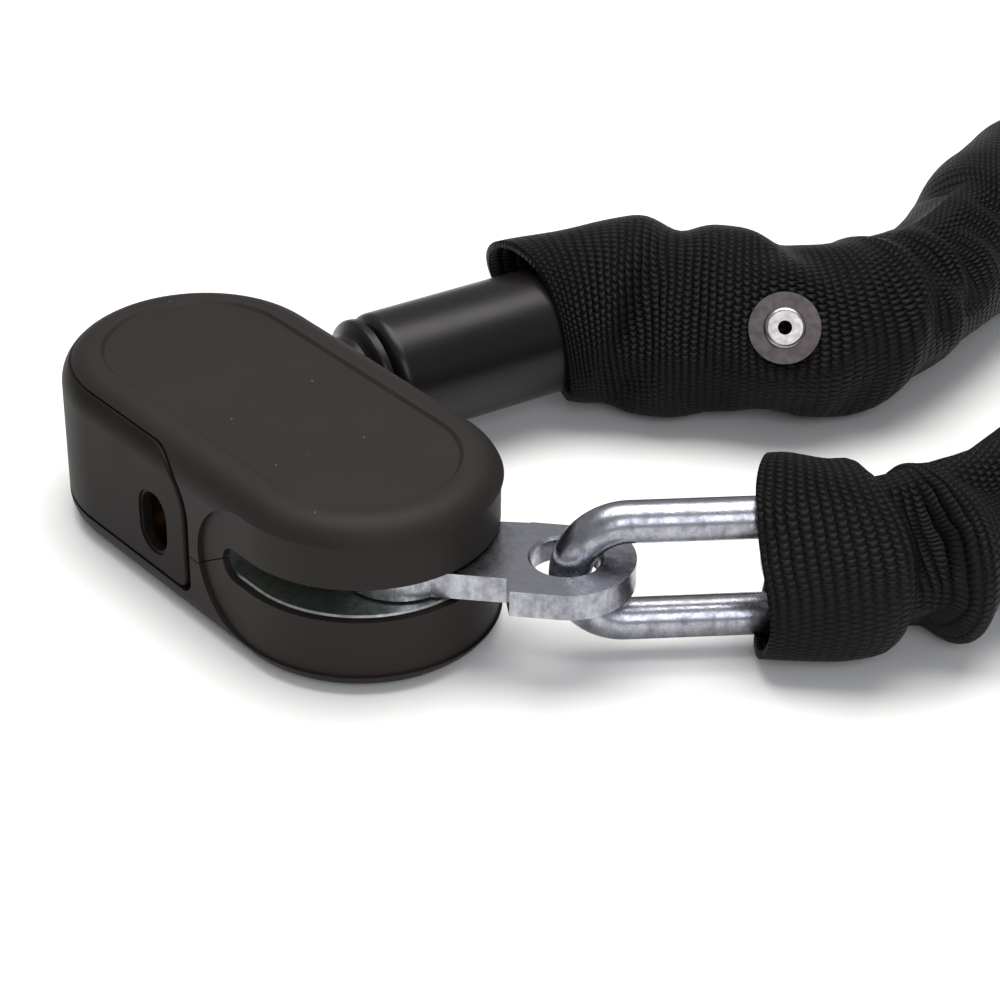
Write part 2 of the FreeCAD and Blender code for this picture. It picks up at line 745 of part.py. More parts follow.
# ---------------------------------------------------------------- ferrule and stud
def make_ferrule():
    ahead = heading(ferrule_heading)
    start = ferrule_frame(0)

    def turned(points):
        """Ring of revolution about the ferrule's axis from (along, radius) points."""
        outline = [start + ahead * s + UP * r for s, r in points]
        face = Part.Face(Part.makePolygon(outline + outline[:1]))
        return face.revolve(start, ahead, 360)

    neck_r = collar_neck_d / 2
    bore_r = stud_neck_d / 2 + skin_fit / 2
    flare = [(4.0, neck_r)]
    rise = collar_rim_d / 2 - neck_r
    for i in range(1, 7):
        s = i / 6
        flare.append((4.0 + (collar_end - 4.8) * s, neck_r + rise * (3 * s * s - 2 * s * s * s)))
    foot = [(-2.6, bore_r), (-2.6, neck_r)]
    rim_r = collar_rim_d / 2
    save("neck_collar", turned(foot + flare + [(collar_end, rim_r), (collar_end, bore_r)]))
    tube = on_ferrule(ferrule_d / 2, ferrule_start, ferrule_end)
    rim = [e for e in tube.Edges if abs((e.CenterOfMass - start).dot(ahead) - ferrule_start) < 1e-6]
    tube = tube.makeFillet(ferrule_round, rim[:1])
    tube = tube.cut(on_ferrule(ferrule_bore_d / 2, ferrule_start + ferrule_lip, ferrule_end + 1))
    tube = tube.cut(on_ferrule(stud_neck_d / 2 + 2 * running_fit, ferrule_start - 1, ferrule_end))
    save("ferrule_tube", tube)

    neck = on_ferrule(stud_neck_d / 2, -stud_head_depth, ferrule_start + ferrule_lip + 0.2)
    head = on_ferrule(stud_head_d / 2, -stud_head_depth, stud_head_thickness - stud_head_depth)
    bar = on_ferrule(stud_d / 2, ferrule_start + ferrule_lip + 0.2, tongue_start)
    eye = ferrule_frame(stud_eye_at)
    low = V(0, 0, tongue_thickness / 2)
    across = V(-ahead.y, ahead.x, 0) * stud_eye_r
    corners = [
        ferrule_frame(tongue_start) - across - low,
        eye - across - low,
        eye + across - low,
        ferrule_frame(tongue_start) + across - low,
    ]
    tongue = Part.Face(Part.makePolygon(corners + corners[:1])).extrude(V(0, 0, tongue_thickness))
    ring = Part.makeCylinder(stud_eye_r, tongue_thickness, eye - low)
    hole = Part.makeCylinder(eye_hole_d / 2, tongue_thickness, eye - low)
    save("anchor_stud", neck.fuse([head, bar, tongue, ring]).removeSplitter().cut(hole))


# ---------------------------------------------------------------- build
def main():
    os.makedirs("parts", exist_ok=True)
    make_shells()
    make_core()
    make_screws()
    make_cylinder()
    make_bolt()
    make_tab()
    make_ferrule()
    route = chain_route()
    for i, point in enumerate(route):
        print(f"pivot {i}: {point.x:.2f}, {point.y:.2f}")
    make_chain(route)
    make_sleeves(route)


main()
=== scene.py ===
# %% [markdown]
# # A bicycle chain lock
#
# The lock is a plastic-skinned body with a steel core, a steel tab that goes into its slot, a chain of
# welded links, and a woven nylon sleeve that keeps the chain from scratching the bicycle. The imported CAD
# model holds every hard piece at its true size, so this lesson gives each of them a finish, and builds
# the one soft piece, the sleeve, as a mesh of its own.

import math

import bpy
import numpy as np
from mathutils import Matrix, Vector


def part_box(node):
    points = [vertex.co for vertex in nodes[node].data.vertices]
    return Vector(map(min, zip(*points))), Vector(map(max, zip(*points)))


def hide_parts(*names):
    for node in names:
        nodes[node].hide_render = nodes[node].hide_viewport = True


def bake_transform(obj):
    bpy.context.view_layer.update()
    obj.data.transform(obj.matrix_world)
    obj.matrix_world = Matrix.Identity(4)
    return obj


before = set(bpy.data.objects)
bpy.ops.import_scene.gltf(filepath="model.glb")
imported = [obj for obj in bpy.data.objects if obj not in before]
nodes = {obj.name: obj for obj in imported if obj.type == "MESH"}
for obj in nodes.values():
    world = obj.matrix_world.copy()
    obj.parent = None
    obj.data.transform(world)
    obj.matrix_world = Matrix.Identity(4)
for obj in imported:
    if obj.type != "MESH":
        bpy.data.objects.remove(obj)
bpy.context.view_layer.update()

# %% [markdown]
# ## Colours, sizes and nodes
#
# A colour picked on a screen is an sRGB hex value, but the renderer adds up light, so it needs linear
# values. One function does that step for every finish. The other helper adds one node, sets what it is
# told to set, and joins its inputs, which keeps each finish below as short as a recipe. Every pattern is
# given its real size in millimetres, and a texture that repeats once a metre needs a scale of 1000 /
# size.


# %% Helpers for finishes
def linear(hex_colour):
    """An sRGB hex colour as the linear RGBA that a shader works in."""
    channels = [int(hex_colour[i : i + 2], 16) / 255 for i in (1, 3, 5)]
    return [c / 12.92 if c <= 0.04045 else ((c + 0.055) / 1.055) ** 2.4 for c in channels] + [1.0]


def per_metre(size_mm):
    """How often a pattern of that size repeats in a metre."""
    return 1000.0 / size_mm


def add(material, kind, inputs=None, **settings):
    """Adds one node to a material, with its settings, and sets or links its inputs."""
    node = material.node_tree.nodes.new("ShaderNode" + kind)
    for name, value in settings.items():
        setattr(node, name, value)
    for name, value in (inputs or {}).items():
        if isinstance(value, bpy.types.NodeSocket):
            material.node_tree.links.new(value, node.inputs[name])
        else:
            node.inputs[name].default_value = value
    return node


def finish(name, **surface):
    """A new material with one surface shader: the material, the shader, places on it, its output."""
    material = bpy.data.materials.new(name)
    material.use_nodes = True
    material.node_tree.nodes.clear()
    shader = add(material, "BsdfPrincipled", surface)
    output = add(material, "OutputMaterial", {"Surface": shader.outputs["BSDF"]})
    place = add(material, "TexCoord")
    print("finish:", name)
    return material, shader, place.outputs["Object"], output


def join(material, source, target):
    """Links two sockets of a material."""
    material.node_tree.links.new(source, target)


def ramp(material, factor, stops):
    """A colour ramp between sRGB hex colours, as (position, colour) stops."""
    node = add(material, "ValToRGB", {"Fac": factor})
    while len(node.color_ramp.elements) < len(stops):
        node.color_ramp.elements.new(0.5)
    for element, (position, colour) in zip(node.color_ramp.elements, stops):
        element.position = position
        element.color = linear(colour)
    return node.outputs["Color"]


def dress(material, *names):
    """Gives CAD nodes a finish."""
    for name in names:
        slots = nodes[name].material_slots
        for slot in slots:
            slot.material = material
        if not slots:
            nodes[name].data.materials.append(material)
    print(material.name, "on", len(names), "pieces")


# %% [markdown]
# ## The lock's skin: nylon moulding with a soft-touch lacquer
#
# The two shells are injection moulded in black glass-filled nylon and sprayed with a rubbery lacquer, so
# that they don't scratch a frame. The lacquer hides the moulding's own gloss. It scatters light very
# widely, which makes black look like warm charcoal, most of all where light rakes over an edge. Two
# noises do the work: one the size of a fingertip for uneven wear, one the size of the lacquer's droplets
# for the grain. A few specks of dust stick to any surface like this.

# %% Soft-touch lacquer
LACQUER_GRAIN = 0.22  # mm, sprayed droplets
HANDLING_PATCH = 14.0  # mm, patches that fingers have rubbed
DUST_SPACING = 5.0  # mm between specks of dust

soft_touch, shader, place, _ = finish(
    "soft_touch_lacquer_on_moulded_nylon", **{"Roughness": 0.52, "IOR": 1.3}
)
grain = add(
    soft_touch, "TexNoise", {"Vector": place, "Scale": per_metre(LACQUER_GRAIN), "Detail": 2.0}
)
patch = add(
    soft_touch, "TexNoise", {"Vector": place, "Scale": per_metre(HANDLING_PATCH), "Detail": 3.0}
)
dust = add(soft_touch, "TexVoronoi", {"Vector": place, "Scale": per_metre(DUST_SPACING)})
speck = add(
    soft_touch,
    "MapRange",
    {"Value": dust.outputs["Distance"], "From Min": 0.030, "From Max": 0.022},
)
skin_colour = ramp(soft_touch, patch.outputs["Fac"], [(0.3, "#1b1615"), (0.7, "#201a18")])
dusty = add(
    soft_touch,
    "Mix",
    {"Factor": speck.outputs["Result"], "A": skin_colour, "B": linear("#6d6762")},
    data_type="RGBA",
)
rough = add(soft_touch, "MapRange", {"Value": patch.outputs["Fac"], "To Min": 0.52, "To Max": 0.64})
height = add(
    soft_touch, "Bump", {"Height": grain.outputs["Fac"], "Strength": 0.12, "Distance": 0.00004}
)
join(soft_touch, dusty.outputs["Result"], shader.inputs["Base Color"])
join(soft_touch, rough.outputs["Result"], shader.inputs["Roughness"])
join(soft_touch, height.outputs["Normal"], shader.inputs["Normal"])
dress(soft_touch, "upper_shell", "lower_shell")

# %% [markdown]
# ## The end cover: bare black moulding
#
# The cover over the keyed end is a separate moulding with a finely spark-eroded texture and no lacquer.
# It is a touch cooler and glossier than the shells, so the gap between them reads at once.

# %% Spark-textured nylon
SPARK_TEXTURE = 0.35  # mm, the pits of the mould's eroded face

cover_nylon, shader, place, _ = finish(
    "spark_textured_black_nylon", **{"Roughness": 0.5, "IOR": 1.2}
)
pits = add(
    cover_nylon, "TexNoise", {"Vector": place, "Scale": per_metre(SPARK_TEXTURE), "Detail": 3.0}
)
patch = add(cover_nylon, "TexNoise", {"Vector": place, "Scale": per_metre(9.0), "Detail": 2.0})
rough = add(
    cover_nylon, "MapRange", {"Value": patch.outputs["Fac"], "To Min": 0.44, "To Max": 0.56}
)
height = add(
    cover_nylon, "Bump", {"Height": pits.outputs["Fac"], "Strength": 0.16, "Distance": 0.00006}
)
join(
    cover_nylon,
    ramp(cover_nylon, patch.outputs["Fac"], [(0.3, "#151210"), (0.7, "#191513")]),
    shader.inputs["Base Color"],
)
join(cover_nylon, rough.outputs["Result"], shader.inputs["Roughness"])
join(cover_nylon, height.outputs["Normal"], shader.inputs["Normal"])
dress(cover_nylon, "end_cover")

# %% [markdown]
# ## The collar and ferrule: black powder coat
#
# Both are turned from steel, sprayed with dry powder and baked. The powder melts into a thick satin
# film, which gives one broad highlight along the tube, with the slight waviness called orange peel.

# %% Powder-coated steel
ORANGE_PEEL = 1.1  # mm

powder_coat, shader, place, _ = finish(
    "black_powder_coat_on_turned_steel", **{
        "Base Color": linear("#110e0e"), "Roughness": 0.34, "IOR": 1.34
    }
)
peel = add(
    powder_coat, "TexNoise", {"Vector": place, "Scale": per_metre(ORANGE_PEEL), "Detail": 1.0}
)
rub = add(powder_coat, "TexNoise", {"Vector": place, "Scale": per_metre(6.0), "Detail": 4.0})
rough = add(powder_coat, "MapRange", {"Value": rub.outputs["Fac"], "To Min": 0.26, "To Max": 0.38})
height = add(
    powder_coat, "Bump", {"Height": peel.outputs["Fac"], "Strength": 0.06, "Distance": 0.0001}
)
join(powder_coat, rough.outputs["Result"], shader.inputs["Roughness"])
join(powder_coat, height.outputs["Normal"], shader.inputs["Normal"])
dress(powder_coat, "ferrule_tube", "neck_collar")

# %% [markdown]
# ## Tab, jaws and chain: bright zinc plate
#
# Zinc is plated over hardened steel and dipped in a clear blue passivate. The plate follows every mark
# of the steel under it: blanking streaks on the sheared edges, drawing lines along the wire, and a
# spangle of slightly different greys where crystals face different ways. A low-frequency noise,
# stretched upright, breaks up the roughness and the tone, and a finer one gives the spangle.

# %% Zinc plate with a blue passivate
SPANGLE = 1.6  # mm
SHEAR_STREAK = (2.2, 2.2, 9.0)  # mm across and up


def zinc_plate(name, bright, dull, smoothest, roughest, relief):
    material, shader, place, _ = finish(name, **{"Metallic": 1.0, "Roughness": smoothest})
    upright = add(
        material, "Mapping", {"Vector": place, "Scale": [per_metre(mm) for mm in SHEAR_STREAK]}
    )
    streak = add(
        material,
        "TexNoise",
        {"Vector": upright.outputs["Vector"], "Scale": 1.0, "Detail": 5.0, "Roughness": 0.65},
    )
    spangle = add(
        material,
        "TexNoise",
        {"Vector": place, "Scale": per_metre(SPANGLE), "Detail": 4.0, "Roughness": 0.7},
    )
    both = add(
        material, "Math", {0: streak.outputs["Fac"], 1: spangle.outputs["Fac"]}, operation="ADD"
    )
    tone = add(
        material, "MapRange", {"Value": both.outputs["Value"], "From Min": 0.75, "From Max": 1.25}
    )
    rough = add(
        material,
        "MapRange",
        {"Value": tone.outputs["Result"], "To Min": roughest, "To Max": smoothest},
    )
    height = add(
        material, "Bump", {"Height": both.outputs["Value"], "Strength": relief, "Distance": 0.0002}
    )
    join(
        material,
        ramp(material, tone.outputs["Result"], [(0.0, dull), (1.0, bright)]),
        shader.inputs["Base Color"],
    )
    join(material, rough.outputs["Result"], shader.inputs["Roughness"])
    join(material, height.outputs["Normal"], shader.inputs["Normal"])
    return material


bright_zinc = zinc_plate("bright_zinc_plate_on_steel", "#b0b1b9", "#7b7c84", 0.2, 0.36, 0.16)
# The jaws' greenish tint is the plate's own. Their zinc is brighter than the tab's as painted light inside
# the shaded slot.
jaw_zinc_brightened_as_slot_light = zinc_plate("greenish_zinc_plate_brightened_as_slot_light", "#c9cfc8", "#8b918b", 0.3, 0.5, 0.2)
dull_zinc = zinc_plate("dull_zinc_plate_on_steel", "#a9aaa8", "#7d7e7c", 0.34, 0.5, 0.2)
links = [f"chain_link_{number:02d}" for number in range(1, 28)]
dress(bright_zinc, "lock_tab", *links)
dress(jaw_zinc_brightened_as_slot_light, "lower_jaw", "upper_jaw")
dress(
    dull_zinc,
    *("core_spine", "shell_screws", "plug_clip", "drive_cam", "cam_screw"),
    *("bolt_carrier", "locking_bolt", "anchor_stud"),
)

# %% [markdown]
# ## The key cylinder: turned brass
#
# Brass is used for lock cylinders because it wears smoothly. Fine rings are left by the lathe. The brass
# is
# painted far darker than bare brass: painted shade for the plug's face, which sits deep in the keyhole.

# %% Turned brass
LATHE_RING = 0.4  # mm, coarser than the real 0.1 mm feed, so that it shows

brass_darkened_as_keyhole_shade, shader, place, _ = finish("turned_brass_darkened_as_keyhole_shade", **{"Metallic": 1.0, "Roughness": 0.32})
brass_tone_noise = add(brass_darkened_as_keyhole_shade, "TexNoise", {"Vector": place, "Scale": per_metre(3.0), "Detail": 4.0})
feed = add(
    brass_darkened_as_keyhole_shade,
    "TexWave",
    {"Vector": place, "Scale": per_metre(LATHE_RING) / 6.283, "Distortion": 0.4},
    bands_direction="Y",
)
height = add(brass_darkened_as_keyhole_shade, "Bump", {"Height": feed.outputs["Fac"], "Strength": 0.2, "Distance": 0.00003})
# Painted shade: both stops of this ramp are far darker than brass, for the plug deep in the keyhole.
join(
    brass_darkened_as_keyhole_shade,
    ramp(brass_darkened_as_keyhole_shade, brass_tone_noise.outputs["Fac"], [(0.3, "#352a18"), (0.7, "#5e4b2a")]),
    shader.inputs["Base Color"],
)
join(brass_darkened_as_keyhole_shade, height.outputs["Normal"], shader.inputs["Normal"])
dress(brass_darkened_as_keyhole_shade, "cylinder_housing", "key_plug", *[f"plug_wafer_{number}" for number in range(1, 6)])

# %% [markdown]
# ## The sleeve's blind rivet and washer
#
# The rivet is aluminium, pulled from outside, so its domed head is smooth and bright with a dark hole
# where the mandrel snapped. The washer is steel with a thin dark phosphate.

# %% Rivet and washer
rivet_alloy, shader, place, _ = finish(
    "drawn_aluminium_rivet", **{"Metallic": 1.0, "Roughness": 0.3}
)
scuff = add(rivet_alloy, "TexNoise", {"Vector": place, "Scale": per_metre(0.9), "Detail": 4.0})
height = add(
    rivet_alloy, "Bump", {"Height": scuff.outputs["Fac"], "Strength": 0.15, "Distance": 0.00005}
)
join(
    rivet_alloy,
    ramp(rivet_alloy, scuff.outputs["Fac"], [(0.3, "#86817f"), (0.7, "#aaa5a3")]),
    shader.inputs["Base Color"],
)
join(rivet_alloy, height.outputs["Normal"], shader.inputs["Normal"])

phosphate, shader, place, _ = finish(
    "phosphated_steel_washer", **{"Metallic": 1.0, "Roughness": 0.42}
)
bloom = add(phosphate, "TexNoise", {"Vector": place, "Scale": per_metre(1.4), "Detail": 4.0})
height = add(
    phosphate, "Bump", {"Height": bloom.outputs["Fac"], "Strength": 0.2, "Distance": 0.00005}
)
join(
    phosphate,
    ramp(phosphate, bloom.outputs["Fac"], [(0.3, "#443f40"), (0.7, "#5b5454")]),
    shader.inputs["Base Color"],
)
join(phosphate, height.outputs["Normal"], shader.inputs["Normal"])
dress(rivet_alloy, "sleeve_rivet")
dress(phosphate, "rivet_washer")

# %% [markdown]
# ## The sleeve: where it runs
#
# The sleeve is a tube woven in one piece from black nylon yarn, about 84 mm round and a little longer
# than the chain, so it gathers. It could be a swept circle, but cloth over links is never round: it
# hangs on the links' corners, lies on the table and folds across its length. So it is built ring by ring
# along the chain's own line, and each ring gets its own reach upwards, downwards and sideways. The line
# runs through the places where the links hang in each other.

# %% The chain's line
STEP = 1.0  # mm between points of the line
CURVE_POINTS = 60  # worked out between two marks, before they are spaced evenly
LINE_SMOOTHING = 5  # points to each side that a point is averaged with
MM = 0.001


def middle(node):
    """The middle of a node's box, in mm."""
    low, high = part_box(node)
    return np.array((low + high) / 2) / MM


def curve_through(points, spacing):
    """A Catmull-Rom curve through flat points, as points at even distances along it."""
    ends = np.vstack([2 * points[0] - points[1], points, 2 * points[-1] - points[-2]])
    pieces = []
    for i in range(1, len(ends) - 2):
        a, b, c, d = ends[i - 1 : i + 3]
        t = np.linspace(0, 1, CURVE_POINTS, endpoint=False)[:, None]
        pieces.append(
            0.5 * (
                2 * b + (c - a) * t + (2 * a - 5 * b + 4 * c - d) * t**2 + (3 * b - a - 3 * c + d) * t**3
            )
        )
    dense = np.vstack(pieces + [points[-1:]])
    along = np.r_[0, np.cumsum(np.linalg.norm(np.diff(dense, axis=0), axis=1))]
    even = np.arange(0, along[-1], spacing)
    return np.column_stack([np.interp(even, along, dense[:, k]) for k in range(dense.shape[1])])


def ends_of_flat_link(name):
    """The two places where its neighbours hang in a flat link: the centres of its round ends."""
    corners = np.array([vertex.co for vertex in nodes[name].data.vertices])[:, :2] / MM
    centre = (corners.max(0) + corners.min(0)) / 2
    long_way = np.linalg.svd(corners - corners.mean(0), full_matrices=False)[2][0]
    reach_of_centres = LINK_LENGTH / 2 - LINK_WIDTH / 2
    return centre - long_way * reach_of_centres, centre + long_way * reach_of_centres


LINK_LENGTH, LINK_WIDTH = 42.0, 22.0  # mm, outside
first = middle(links[0])[:2]
marks = [first]
for name in links[1::2]:
    one, other = ends_of_flat_link(name)
    nearer = np.linalg.norm(one - marks[-1]) < np.linalg.norm(other - marks[-1])
    marks += [one, other] if nearer else [other, one]
LEAD_IN = 12.0  # mm of line before the first link's middle
FERRULE_BEFORE, FERRULE_AFTER = 16, 14  # mm of straight line to each side of the ferrule's middle
first_way = (marks[1] - first) / np.linalg.norm(marks[1] - first)
collar, ferrule = middle("neck_collar")[:2], middle("ferrule_tube")[:2]
ferrule_way = (ferrule - collar) / np.linalg.norm(ferrule - collar)
marks = [first - first_way * LEAD_IN, *marks]
marks += [ferrule + ferrule_way * FERRULE_BEFORE, ferrule, ferrule - ferrule_way * FERRULE_AFTER]
marks = np.vstack(marks)
line = curve_through(marks, STEP)
kernel = np.ones(2 * LINE_SMOOTHING + 1) / (2 * LINE_SMOOTHING + 1)
padded_line = np.pad(
    line, ((LINE_SMOOTHING, LINE_SMOOTHING), (0, 0)), "reflect", reflect_type="odd"
)
line = np.column_stack([np.convolve(padded_line[:, k], kernel, "valid") for k in range(2)])
way = np.gradient(line, axis=0)
way /= np.linalg.norm(way, axis=1)[:, None]
zero = int(np.argmin(np.linalg.norm(line - first, axis=1)))
distance = (np.arange(len(line)) - zero) * STEP
LINE_LENGTH = float(distance[-1])
print("line:", len(line), "points,", distance[0], "to", LINE_LENGTH, "mm past the first link's middle")

# %% [markdown]
# ## The sleeve: its reach at each place
#
# Each row below says how far the cloth reaches from the chain's middle, in millimetres, at a distance
# along the chain from the first link's middle: up and away, down and towards the front, and to the
# sides. Between rows the reach changes smoothly. The middle of the run isn't shaped by hand: there the
# cloth is a little slack all along.

# %% Reaches along the sleeve
CHAIN_HEIGHT = 13.5  # mm, the chain's middle above the table
LEAN = 36.0  # degrees that the cloth's section leans back
#   along, up, down, near side, far side
FRONT_REACH = [
    (6, 15.4, 12.6, 7.6, 7.4),
    (12, 16.2, 13.1, 10.0, 9.4),
    (16, 15.4, 13.6, 12.4, 11.4),
    (20, 14.4, 14.0, 14.4, 12.6),
    (24, 14.2, 13.0, 15.6, 13.0),
    (28, 10.8, 11.8, 13.4, 13.0),
    (32, 10.2, 13.4, 14.6, 13.0),
    (36, 9.4, 12.6, 14.4, 13.0),
    (40, 8.4, 10.7, 13.8, 13.0),
    (44, 8.8, 11.2, 13.8, 13.0),
    (50, 11.0, 11.6, 13.6, 13.2),
    (60, 13.2, 12.6, 13.4, 13.4),
    (80, 13.6, 13.6, 13.4, 13.4),
]
BACK_REACH = [
    (660, 13.6, 13.6, 13.4, 13.4),
    (700, 14.2, 12.8, 13.2, 13.2),
    (708, 13.2, 12.2, 13.2, 13.2),
    (712, 10.8, 11.4, 13.2, 13.2),
    (720, 10.7, 10.6, 13.4, 13.2),
    (728, 10.3, 9.8, 13.6, 13.2),
    (732, 11.3, 9.8, 13.6, 13.2),
    (736, 13.0, 10.8, 13.6, 13.2),
    (740, 13.8, 10.8, 13.6, 13.2),
    (744, 14.0, 11.8, 13.6, 13.2),
    (748, 14.1, 13.4, 13.6, 13.2),
    (752, 14.2, 14.2, 13.4, 13.2),
    (756, 14.8, 12.6, 13.4, 13.2),
    (760, 15.5, 11.6, 13.4, 13.0),
    (764, 16.4, 11.9, 13.4, 13.0),
    (768, 16.8, 13.0, 13.4, 13.0),
    (772, 17.4, 13.5, 13.2, 12.8),
    (784, 17.4, 14.0, 12.8, 12.6),
    (788, 17.0, 12.5, 12.2, 12.6),
    (792, 15.6, 11.5, 11.6, 12.6),
    (796, 14.8, 11.4, 11.5, 12.6),
    (806, 14.8, 11.4, 11.5, 12.6),
]
reach_rows = np.array(FRONT_REACH + BACK_REACH, float)
fine = np.arange(0, LINE_LENGTH + 1, STEP)
reach = np.column_stack([np.interp(fine, reach_rows[:, 0], reach_rows[:, k]) for k in (1, 2, 3, 4)])
SOFTEN = 2  # points to each side, so that rows don't show as kinks
soft_kernel = np.ones(2 * SOFTEN + 1) / (2 * SOFTEN + 1)
reach = np.column_stack(
    [np.convolve(np.pad(reach[:, k], SOFTEN, "edge"), soft_kernel, "valid") for k in range(4)]
)
print("reach rows:", len(reach_rows))

# %% [markdown]
# ## The sleeve: folds
#
# A gathered tube folds across its length. A fold is a valley with a low ridge beside it, and it fades
# out round the tube. A few deep folds are listed one by one, where the chain turns or the cloth is
# bunched.
# The rest come from a seeded list of chances, so every run makes the same ones.

# %% Folds
#   along, round (degrees from the top), depth, width, spread (degrees), slant (mm each 100 degrees)
PLACED_FOLDS = [
    (28.0, 100, 5.6, 1.9, 75, 0.0),
    (24.0, 100, -0.9, 1.8, 70, 0.0),
    (29.5, 175, 3.2, 2.2, 34, 5.0),
    (26.5, 20, 2.2, 1.8, 34, -6.0),
    (39.5, 20, 2.4, 2.4, 45, 3.0),
    (41.5, 160, 2.6, 1.7, 34, -4.0),
    (48.0, 100, 1.0, 3.0, 40, 8.0),
    (14.0, 120, 0.4, 3.5, 35, 5.0),
]
BACK_FOLDS = [
    (781.0, 265, 3.4, 2.4, 60, -5.0),
    (773.0, 270, 1.6, 2.4, 60, 3.0),
    (765.0, 250, 1.0, 2.2, 45, -6.0),
    (740.0, 260, 1.6, 1.6, 50, -4.0),
    (735.5, 275, 1.7, 1.5, 55, 4.0),
    (729.0, 300, 2.2, 1.7, 50, -5.0),
    (722.0, 280, 1.5, 1.8, 45, 3.0),
    (750.0, 215, 1.6, 2.0, 30, -5.0),
    (757.0, 335, 1.2, 3.0, 30, 12.0),
    (712.0, 330, 2.0, 2.0, 40, -7.0),
    (744.0, 300, 1.0, 1.6, 25, -6.0),
]
LOOSE_FROM, LOOSE_RUN, LOOSE_COUNT = 56, 640, 62  # mm, mm and folds between the two ends
chance = np.random.default_rng(7)
LOOSE_FOLDS = [
    (
        LOOSE_FROM + LOOSE_RUN * (k + chance.random()) / LOOSE_COUNT,
        chance.uniform(-180, 180),
        chance.uniform(0.6, 2.0),
        chance.uniform(1.6, 3.4),
        chance.uniform(35, 75),
        chance.uniform(-8, 8),
    )
    for k in range(LOOSE_COUNT)
]
RIDGE_SHARE = 0.45  # height of a ridge as a share of its valley's depth


def fold_relief(along, turn):
    """How far folds move the cloth outwards, in mm. along is in mm and turn in degrees from the top."""
    relief = np.zeros(np.broadcast(along, turn).shape)
    for at, round_at, depth, width, spread, slant in PLACED_FOLDS + BACK_FOLDS + LOOSE_FOLDS:
        off = (turn - round_at + 180) % 360 - 180
        fade = np.exp(-0.5 * (off / spread) ** 2)
        across = along - at - slant * off / 100
        valley = np.exp(-0.5 * (across / width) ** 2)
        ridge = np.exp(-0.5 * ((across - 2.2 * width) / (1.2 * width)) ** 2)
        relief += depth * fade * (RIDGE_SHARE * ridge - valley)
    return relief


print("folds:", len(PLACED_FOLDS + BACK_FOLDS + LOOSE_FOLDS))

# %% [markdown]
# ## The sleeve: cutting and closing the tube
#
# The two ends are heat-cut, not hemmed. The front mouth stands a little open round the first link, and
# the far mouth is pushed over the ferrule. The cloth never goes inside the links: the inner limit is the
# shape of a band stretched over an upright and a flat link. Under the tube it lies flat on the table.

# %% The tube's outer face
CLOTH = 1.1  # mm thick
AROUND = 96  # corners in a ring
RING_STEP = 1.0  # mm between rings
FRONT_MOUTH = 9.2  # mm: where the cloth starts, on average
FRONT_CUT_TOP, FRONT_CUT_NEAR, FRONT_CUT_BELOW = 1.0, 1.6, 1.4  # mm, its slanting cut
BACK_MOUTH, BACK_CUT_TOP = 797.0, 4.0  # mm: where it ends, and how much later at the top
TABLE = 0.35  # mm kept over the table
WIRE = 6.0  # mm
CLEAR = 1.35  # mm from a link to the cloth's outer face
FERRULE_CLEAR = 11.45  # mm, the cloth's outer face where it lies on the ferrule
ON_FERRULE, FERRULE_EASE = 784, 8  # mm along, where the cloth passes from chain to ferrule
HALF_WAY = 390  # mm along, past which the camera's side is the other side
TURNING = 120  # mm over which the section's lean changes sides there
FIRST_FLAT_END = 8.65  # mm along, the near end of the first flat link
LIMIT_SOFT, TABLE_SOFT = 0.35, 0.3  # mm, how softly the cloth comes to rest on chain and table
TAUT = 1.138  # how far out a band over two links lies between their corners


def hard_limit(along, bearing):
    """How near the chain's middle the cloth may come: a band over an upright and a flat link."""
    first_flat_end = LINK_WIDTH / 2 + FIRST_FLAT_END
    into = np.clip(first_flat_end - along, 0, LINK_WIDTH / 2)
    half_flat = np.sqrt(np.maximum((LINK_WIDTH / 2) ** 2 - into**2, (WIRE / 2) ** 2)) + CLEAR
    half_upright = LINK_WIDTH / 2 + CLEAR
    cosine, sine = np.abs(np.cos(bearing)), np.abs(np.sin(bearing))
    rounded = 1 / np.sqrt((cosine / half_flat) ** 2 + (sine / half_upright) ** 2)
    taut = TAUT / (cosine / half_flat + sine / half_upright)
    # the upright link alone, two bars side by side: straight sides and round ends
    bar_clear, bar_at = WIRE / 2 + CLEAR, (LINK_WIDTH - WIRE) / 2
    straight = bar_clear / np.maximum(cosine, 1e-3)
    round_end = bar_at * sine + np.sqrt(np.maximum(bar_clear**2 - (bar_at * cosine) ** 2, 0))
    bars = np.where(straight * sine <= bar_at, straight, round_end)
    return np.maximum(np.minimum(rounded, taut), bars)


